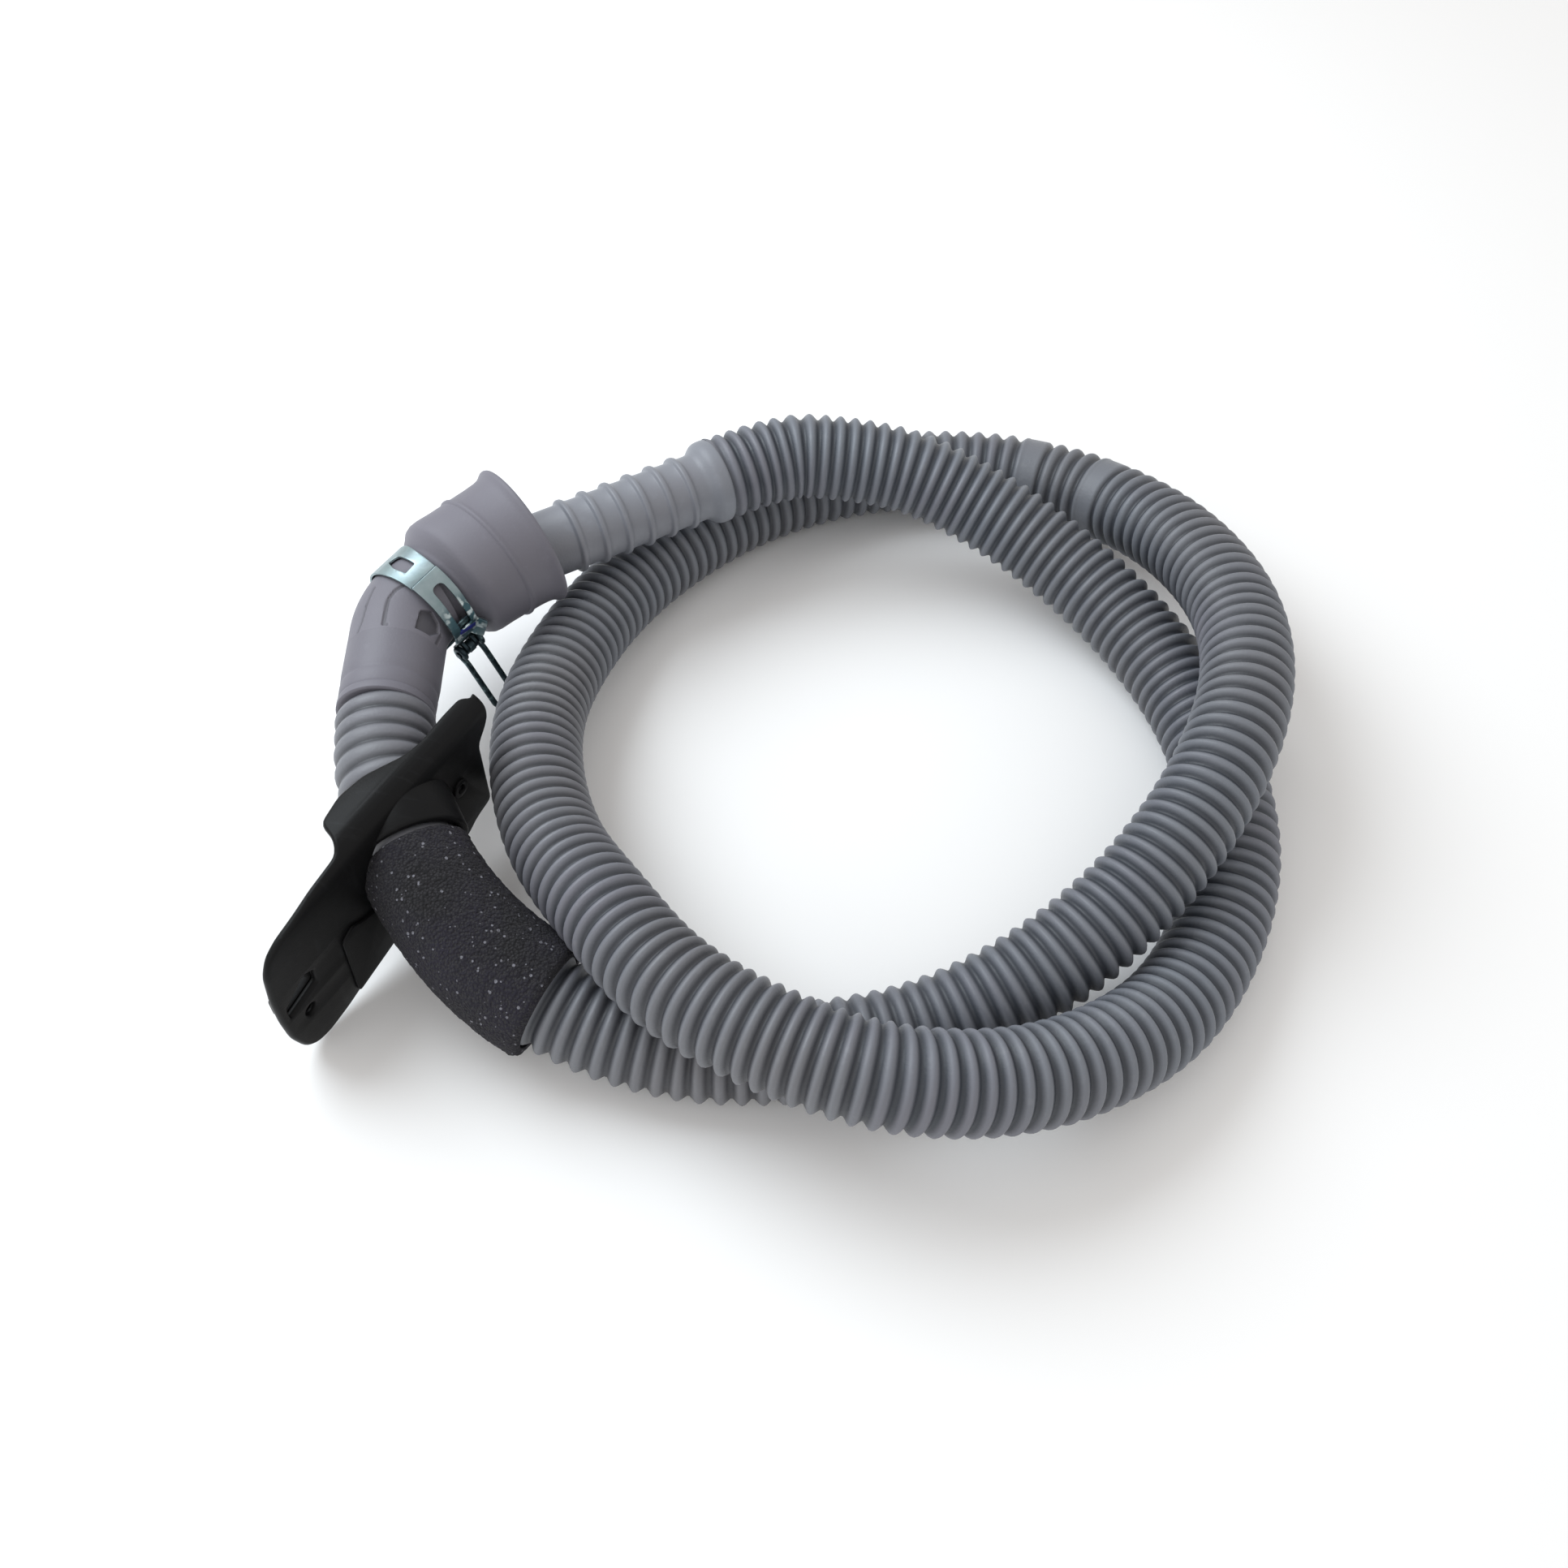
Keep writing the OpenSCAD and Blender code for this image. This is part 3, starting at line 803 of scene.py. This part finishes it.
def build_cup(material):
    """Flared rubber cup with a soft slanted shoulder, a moulding step and a rolled rim."""
    outer = [(-0.6, 16.4), (0.0, 17.2), (1.5, 17.7), (2.6, 18.6), (3.6, 20.0), (4.8, 21.3),
             (6.0, 22.9), (7.6, 23.7), (10.0, 24.0), (15.0, 23.95), (20.0, 24.1),
             (20.9, 24.15), (21.3, 24.6), (21.8, 24.95), (22.3, 24.95), (22.9, 24.6),
             (24.0, 24.35), (29.0, 24.5), (33.0, 24.8), (35.0, 25.2), (36.2, 25.8),
             (37.0, 26.4), (37.7, 26.85), (38.4, 26.95), (38.9, 26.7), (39.0, 26.1),
             (38.7, 25.4), (37.8, 24.5), (36.4, 23.6), (34.0, 22.9), (31.0, 22.6)]
    inner = [(26.0, 22.4), (12.5, 22.4), (11.2, 22.0), (10.4, 21.0), (10.1, 19.0), (10.0, 14.0),
             (9.6, 13.6), (6.0, 13.6), (5.2, 13.7), (5.0, 14.5), (5.0, 15.6), (2.0, 16.0),
             (-0.4, 16.0)]

    def slant(x, angle):
        """The shoulder follows the clamp, which is set across the neck at a slant. The slant
        fades past the shoulder and is gone at the rim."""
        hold = 1 - 0.3 * smoothstep((x - 2) / 12) - 0.7 * smoothstep((x - 24) / 9)
        return (0.9 - 4.4 * np.cos(angle)) * hold

    section = outer + inner
    cup = lathe("cup_shell", section, frame_at_bend(BEND_ANGLE), sides=144, slant=slant,
                groove=[0.0] * len(section))
    cup = joined("cup_shell", [cup, build_neck()])
    finish_piece(cup, "hose_set", material, sharp=42, stands_for=["inlet_cup"])


# -------- clamp

# Where on the bend the clamp sits, its own heading, and how far it is off the centreline.
CLAMP_ANGLE = 40.0
CLAMP_HEADING = 37.0
CLAMP_OFFSET = 0.6
STRAP_R = 18.0
STRAP_T = 0.9
STRAP_EDGE = 0.2
OVER_R = STRAP_R + STRAP_T
# The pin's angle round the clamp, its distance from the axis and its place along it, and how
# far each ear is from there.
EAR_ANGLE = 40.0
PIN_R = 22.4
EAR_MID = 0.3
EAR_AWAY = 2.2
# The loop's angle below the ears, its length and half width, its eyes, corners and wire.
BAIL_DROP = 30.0
BAIL_LENGTH = 27.0
BAIL_HALF = 4.4
BAIL_EYE_R = 2.15
BAIL_CORNER_R = 2.6
WIRE_R = 1.08
# The place beside the ears, in metres in the clamp's frame, round which the zinc takes painted
# glints.
KNUCKLE = (0.001, -0.0195, 0)


def clamp_frame():
    """Frame of the clamp: +X along its axis, +Y to the outside of the bend."""
    place = shifted(bend_point(CLAMP_ANGLE))
    turn = turned(90 - CLAMP_HEADING, "Z")
    return elbow_frame() @ place @ turn @ shifted((0, -CLAMP_OFFSET, 0))


def pin_frame():
    """Frame of the clamp's pin, with its own -Y pointing away from the clamp's axis."""
    return clamp_frame() @ turned(EAR_ANGLE, "X") @ shifted((EAR_MID, -PIN_R, 0))


def eased(points, radius, steps=5):
    """Corners of a strap's outline rounded by millimetres, though it runs in degrees."""
    per_degree = math.radians(1) * STRAP_R
    flat = rounded([(u * per_degree, x) for u, x in points], radius, steps)
    return [(u / per_degree, x) for u, x in flat]


def strap(name, outline, holes, radius, lift=None):
    """A flat strap, drawn as degrees round the neck by millimetres along it, and rolled.
    lift says how far off its radius it stands at each angle."""
    per_degree = math.radians(1) * radius
    loops = [[(u * per_degree, x) for u, x in loop] for loop in [outline, *holes]]
    mesh = flat_mesh(name, loops[0], loops[1:], STRAP_T, STRAP_EDGE)
    reach = [p[0] for p in loops[0]]
    cut = 1.2
    slice_mesh(mesh, np.arange(min(reach) + cut / 2, max(reach), cut))

    def roll(points):
        angle = points[:, 0] / radius
        r = radius + STRAP_T / 2 + points[:, 2]
        if lift:
            r = r + lift(np.degrees(angle))
        rolled = np.stack([points[:, 1], r * np.cos(angle), r * np.sin(angle)], axis=-1)
        return apply_frame(rolled, clamp_frame())

    move_mesh(mesh, roll)
    return new_object(name, mesh)


def wire_sweep(name, points, radius, matrix):
    """Round wire along points in millimetres, with eased ends."""
    sides, end_share = 20, 0.6
    points = np.array(points, float)
    heading = np.gradient(points, axis=0)
    heading /= np.linalg.norm(heading, axis=1, keepdims=True)
    side = np.cross(heading[0], [0.3, 0.5, 0.8])
    a = circle_angles(sides)
    rows = []
    for k, (place, ahead) in enumerate(zip(points, heading)):
        side = side - ahead * (side @ ahead)
        side /= np.linalg.norm(side)
        ease = end_share if k in (0, len(points) - 1) else 1.0
        ring = np.outer(np.cos(a), side) + np.outer(np.sin(a), np.cross(ahead, side))
        rows.append(place + radius * ease * ring)
    return grid_object(name, apply_frame(np.array(rows), matrix))


def build_bail(material):
    """Wire loop: an eye round the pin at each side, straight legs and rounded corners."""
    eye, corner = BAIL_EYE_R, BAIL_CORNER_R
    turns = np.radians(np.arange(38, 319, 10))
    leg = [(-eye * math.cos(t), eye * math.sin(t)) for t in turns]
    leg += [(-3.2, -0.75), (-4.2, -0.35), (-5.4, -0.08), (-6.8, 0.0), (-12, 0.0), (-18, 0.0)]
    leg = [(BAIL_HALF, y, z) for y, z in leg]
    bend = [(BAIL_HALF - corner * (1 - math.cos(t)), -BAIL_LENGTH + corner * (1 - math.sin(t)), 0)
            for t in np.radians(np.arange(0, 91, 10))]
    half = leg + bend
    points = half + [(-x, y, z) for x, y, z in reversed(half)]
    bail = wire_sweep("bail_wire", points, WIRE_R, pin_frame() @ turned(BAIL_DROP, "X"))
    finish_piece(bail, "bail", material, sharp=50, stands_for=["clamp_bail"])


def lug(corners):
    """Flat tab through four corners, each as degrees, millimetres along and radius."""
    places = [np.array([x, r * math.cos(math.radians(t)), r * math.sin(math.radians(t))])
              for t, x, r in corners]
    along = places[1] - places[0]
    along /= np.linalg.norm(along)
    face = np.cross(along, places[3] - places[0])
    face /= np.linalg.norm(face)
    across = np.cross(face, along)
    outline = [((p - places[0]) @ along, (p - places[0]) @ across) for p in places]
    mesh = flat_mesh("clamp_tab", rounded(outline, 0.9), [], thickness=1.0, edge=STRAP_EDGE)
    turn = Matrix(np.column_stack([along, across, face]).tolist()).to_4x4()
    place = clamp_frame() @ shifted(places[0]) @ turn
    move_mesh(mesh, lambda p: apply_frame(p, place))
    return new_object("clamp_tab", mesh)


def build_clamp(zinc, dark, paint):
    """Rolled strap with a window, and its overlap with a long slot. Then its ears, with a dark
    strip painted in as the lap's shadow, the ears' root and the barrel, a tab and a dab of
    paint. low and high are the strap's edges along the clamp's axis."""
    low, high = -6.6, 5.6
    window = eased([(61, -1.6), (66, 2.2), (95, 1.9), (96, -3.0), (81, -3.8)],
                   [1.6, 1.6, 0.6, 0.5, 2.0])
    under = strap("clamp_under", rounded(
        [(-122, low), (10, low), (50, -7.3), (80, -7.3), (117, low), (117, high), (88, 6.3),
         (60, 7.9), (30, 7.6), (0, high), (-122, high)], 1.5), [window], STRAP_R)

    def towards_ears(degrees):
        """The overlap lifts off the strap under it as it nears the ears."""
        return 0.1 + 1.3 * smoothstep((degrees - 158) / 26)

    slot = eased([(129, -2.5), (183, -2.7), (183, 2.8), (129, 2.6)], [2.4, 0.6, 0.6, 2.4], 8)
    lap = rounded([(114.5, low - 0.1), (196, low + 0.6), (196, high - 0.3), (114.5, high)], 0.8)
    over = strap("clamp_over", lap, [slot], OVER_R, towards_ears)
    band = joined("clamp_strap", [under, over])
    finish_piece(band, "hose_set", zinc, sharp=45, stands_for=["clamp_band"])

    ears = []
    for x in (-EAR_AWAY, EAR_AWAY):
        outline = rounded([(-3.6, -2.9), (0.6, -2.6), (2.4, 0), (0.6, 2.6), (-3.6, 2.9)], 1.8)
        pin_hole = oval((0, 0), 1.25, 1.25)
        mesh = flat_mesh("ear", outline, [pin_hole], thickness=1.4, edge=0.3)
        upright_ear = Matrix(((0, 0, 1, x * MM), (-1, 0, 0, 0), (0, 1, 0, 0), (0, 0, 0, 1)))
        move_mesh(mesh, lambda p, m=pin_frame() @ upright_ear: apply_frame(p, m))
        ears.append(new_object("ear", mesh))
    # A thin dark strip at the end of the overlap is a painted shadow, standing in for the shade
    # in the gap there.
    lap_shadow_outline = rounded([(113.3, low), (114.7, low), (114.7, high), (113.3, high)], 0.1, 1)
    ears.append(strap("lap_shadow", lap_shadow_outline, [], STRAP_R + STRAP_T * 0.55))
    root = eased([(176, -3.4), (232, -3.3), (232, 3.3), (176, 3.4)], 0.8)
    ears.append(strap("ear_root", root, [], OVER_R + 0.2))
    ears.append(lathe("barrel", [(-1.3, 1.3), (-1.4, 1.6), (-1.4, 2.0), (-1.2, 2.3), (1.2, 2.3),
                                 (1.4, 2.0), (1.4, 1.6), (1.3, 1.3)], pin_frame(), sides=48))
    finish_piece(joined("clamp_ears", ears), "hose_set", dark, sharp=45)

    tab = lug([(182, 4.6, 18.9), (191, 7.6, 23.8), (206, 4.8, 24.0), (203, 1.6, 18.9)])
    finish_piece(tab, "hose_set", zinc, sharp=45)
    dab = strap("paint_mark", rounded([(182, -3.2), (186, -3.6), (192, 3.6), (187, 4.2)], 0.8),
                [], OVER_R + 0.18, towards_ears)
    finish_piece(dab, "hose_set", paint, sharp=45)


# -------- foam

FOAM_FROM, FOAM_TO = 1407.0, 1473.5
# Radius at the open lower end, radius at the bracket's collar, and bore.
FOAM_R_LOW, FOAM_R_HIGH, FOAM_BORE_R = 20.2, 18.5, 16.6
# How much the ends are rounded off, and over what length.
FOAM_EASE, FOAM_EASE_OVER = 1.1, 2.2
# The crumbly skin's coarse and fine roughness: height and how many to the millimetre.
FOAM_ROUGH = ((0.32, 0.55), (0.22, 1.6))


def build_foam(material):
    """Soft sleeve round the hose with a crumbly skin and eased ends."""
    step, sides = 0.55, 132
    s = np.arange(FOAM_FROM, FOAM_TO + 0.01, step)
    a = circle_angles(sides)
    centre, _, side, up = PATH.frames(s)
    rows = []
    for k in range(len(s)):
        end = min(s[k] - FOAM_FROM, FOAM_TO - s[k])
        ease = FOAM_EASE * (1 - smoothstep(end / FOAM_EASE_OVER)) ** 2
        open_end = 1 - smoothstep((s[k] - FOAM_FROM) / (FOAM_TO - FOAM_FROM))
        radius = FOAM_R_HIGH + (FOAM_R_LOW - FOAM_R_HIGH) * open_end - ease
        ring = []
        for angle in a:
            away = math.cos(angle) * side[k] + math.sin(angle) * up[k]
            place = Vector(centre[k] + radius * away)
            rough = sum(height * noise.noise(place * scale) for height, scale in FOAM_ROUGH)
            ring.append(centre[k] + (radius + rough) * away)
        rows.append(ring)
    for k in range(len(s) - 1, -1, -1):
        away = np.outer(np.cos(a), side[k]) + np.outer(np.sin(a), up[k])
        rows.append((centre[k] + FOAM_BORE_R * away).tolist())
    foam = grid_object("foam_pad", np.array(rows) * MM, wrap=True)
    finish_piece(foam, "hose_set", material, sharp=60, stands_for=["foam_sleeve"])


# -------- bracket

# The plate's heading in plan, its distance from the route's origin, its wall, the level of
# its flange's top and the outer radius of the fold between them.
PLATE_TURN = 60.0
PLATE_AWAY = 84.0
WALL = 3.0
PLATE_TOP = 66.0
FOLD_R = 8.0
FOLD_FROM = PLATE_TOP - FOLD_R
FOLD_MIDDLE_R = FOLD_R - WALL / 2
# The collar starts a little past the foam and is cut off this far behind the plate's middle.
COLLAR_FROM = FOAM_TO + 1.2
COLLAR_CUT = 0.2
# Openings on the plate's drawing: along it by up, in millimetres.
SCREW_SLOT = rounded([(-162.4, 25.2), (-149.4, 28.4), (-149.0, 34.2), (-152.8, 36.2),
                      (-162.4, 30.6)], 0.8)
SCREW_AT, BOSS_AT = (-155, 19.5), (-72.5, 41.5)
SCREW_HOLE = oval(SCREW_AT, 2.2, 2.2)
BOSS_HOLE = oval(BOSS_AT, 1.6, 1.6)


def plate_frame():
    """Frame of the upright plate: +X along it, +Y across it, towards the back, +Z up."""
    return shifted(-CENTRE) @ (turned(PLATE_TURN, "Z") @ shifted((0, PLATE_AWAY, 0)))


def upright(points):
    """Drawing plane (x, y, thickness) to the plate's frame: along, up, and to the front.
    What is drawn above the fold rolls over backwards and lies level."""
    rise = points[:, 1] - FOLD_FROM
    turn = np.clip(rise / FOLD_MIDDLE_R, 0, math.pi / 2)
    radius = FOLD_MIDDLE_R + points[:, 2]
    level = np.maximum(rise - FOLD_MIDDLE_R * math.pi / 2, 0)
    across = FOLD_MIDDLE_R - radius * np.cos(turn) + level
    up = FOLD_FROM + np.minimum(rise, 0) + radius * np.sin(turn)
    return apply_frame(np.stack([points[:, 0], across, up], -1), plate_frame())


def collar_axis():
    """Where the hose enters the bracket's collar, in millimetres, and its heading there."""
    at, heading, _, _ = PATH.frames(np.array([COLLAR_FROM]))
    return at[0], heading[0]


def build_bracket(material):
    """Moulded bracket: upright plate, rolled fold, level flange, collar, boss and pad."""
    outline = [(-51.6, 60), (-51.4, 66.6), (-53.4, 65.9), (-56, 68.4), (-64, 68.6), (-77, 68.0),
               (-84, 69.2), (-97, 75.2), (-107, 76.6), (-118.2, 74.4), (-120.8, 67.5),
               (-124.5, 63.8), (-138, 62.4), (-155, 59), (-161, 56), (-164.5, 50), (-166, 37),
               (-166, 26), (-165, 15), (-162, 6), (-158, 2), (-152, 0.8), (-142, 2),
               (-118, 8), (-95, 12), (-73, 16), (-68, 19), (-59, 21), (-59, 50), (-54, 55)]
    at, heading = collar_axis()
    to_plate = np.array(plate_frame().inverted())
    local = to_plate[:3, :3] @ (at * MM) + to_plate[:3, 3]
    course = to_plate[:3, :3] @ heading
    crossing = (local - course * local[1] / course[1]) / MM
    tilt = math.degrees(math.atan2(course[2], course[0]))
    # The hose crosses the plate at a slant, so its hole is longer than it is wide.
    long_r = (HOSE_R + 1.2) / abs(course[1]) + 0.8
    holes = [oval((crossing[0], crossing[2]), long_r, HOSE_R + 1.6, tilt, 64),
             SCREW_SLOT, SCREW_HOLE, BOSS_HOLE]
    plate = flat_mesh("plate", rounded(outline, 2.5, 4), holes, thickness=WALL, edge=1.3)
    fold_end = FOLD_FROM + FOLD_MIDDLE_R * math.pi / 2
    slice_mesh(plate, np.linspace(FOLD_FROM, fold_end, 12), (0, 1, 0))
    move_mesh(plate, upright)
    parts = [new_object("plate", plate), build_collar(at, heading), *build_plate_details()]
    bracket = joined("bracket_body", parts)
    finish_piece(bracket, "bracket", material, sharp=42, stands_for=["bracket"])


def build_collar(at, heading):
    """Ring round the hose from the foam to the plate, cut off open inside the wall."""
    outer_r, inner_r, reach = 19.7, 17.2, 46.0
    turn = Vector(heading).to_track_quat("X", "Z").to_matrix().to_4x4()
    matrix = shifted(at) @ turn
    profile = [(0.5, inner_r), (0, inner_r + 0.5), (0, outer_r - 0.9), (0.3, outer_r - 0.3),
               (1.0, outer_r), (reach, outer_r), (reach, inner_r)]
    ring = lathe("collar", profile, matrix, sides=120)
    across = plate_frame().to_3x3() @ Vector((0, 1, 0))
    place = plate_frame() @ Vector((0, COLLAR_CUT * MM, 0))
    with edited(ring.data) as work:
        geometry = work.verts[:] + work.edges[:] + work.faces[:]
        bmesh.ops.bisect_plane(work, geom=geometry, plane_co=place, plane_no=across,
                               clear_outer=True)
    return ring


def build_plate_details():
    """Raised pad by the collar, a screw boss and sleeves behind the foot's openings."""
    pad = rounded([(-136.5, 33.5), (-131, 36), (-126, 33), (-118, 31), (-112, 22), (-112, 10),
                   (-137, 5)], 1.8, 4)
    sleeve = rounded([(-164, 24), (-147.4, 26), (-147.4, 37.4), (-153, 37.8), (-164, 32)], 1.2)
    # Name, outline, holes, thickness, its middle's distance in front of the plate's, edge.
    pieces = [("pad", pad, [], 1.2, 2.0, 0.5),
              ("boss", oval(BOSS_AT, 3.4, 3.4), [BOSS_HOLE], 1.0, 1.9, 0.35),
              ("slot_sleeve", sleeve, [SCREW_SLOT], 3.6, -3.2, 0.3),
              ("hole_sleeve", oval(SCREW_AT, 3.8, 3.8), [SCREW_HOLE], 3.6, -3.2, 0.3)]
    parts = []
    for name, outline, holes, thickness, lift, edge in pieces:
        mesh = flat_mesh(name, outline, holes, thickness, edge)
        move_mesh(mesh, lambda p, up=lift: upright(p + [0, 0, up]))
        parts.append(new_object(name, mesh))
    return parts


# -------- build

# Each moulded skin's name, light and dark tints, and lowest and highest roughness.
SPIGOT_SKIN = ("spigot_plastic", (0.206, 0.224, 0.258), (0.196, 0.198, 0.222), 0.40, 0.52)
ELBOW_SKIN = ("elbow_rubber", (0.150, 0.145, 0.174), (0.135, 0.132, 0.156), 0.48, 0.62)
CUP_SKIN = ("cup_rubber", (0.166, 0.160, 0.191), (0.150, 0.146, 0.172), 0.50, 0.64)

add_camera()
add_studio()

hose = build_hose(hose_material())
spigot = build_spigot(moulded_material(*SPIGOT_SKIN))
elbow = build_elbow(moulded_material(*ELBOW_SKIN))
build_cup(moulded_material(*CUP_SKIN))
dark_steel = wire_material()
build_clamp(zinc_material(clamp_frame() @ Vector(KNUCKLE)), dark_steel, paint_material())
build_foam(foam_material())
build_bracket(bracket_material())
build_bail(dark_steel)

# The pin is the CAD's own node, which only takes a better material.
pin_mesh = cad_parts["clamp_pin"].data
pin_mesh.materials.clear()
pin_mesh.materials.append(dark_steel)
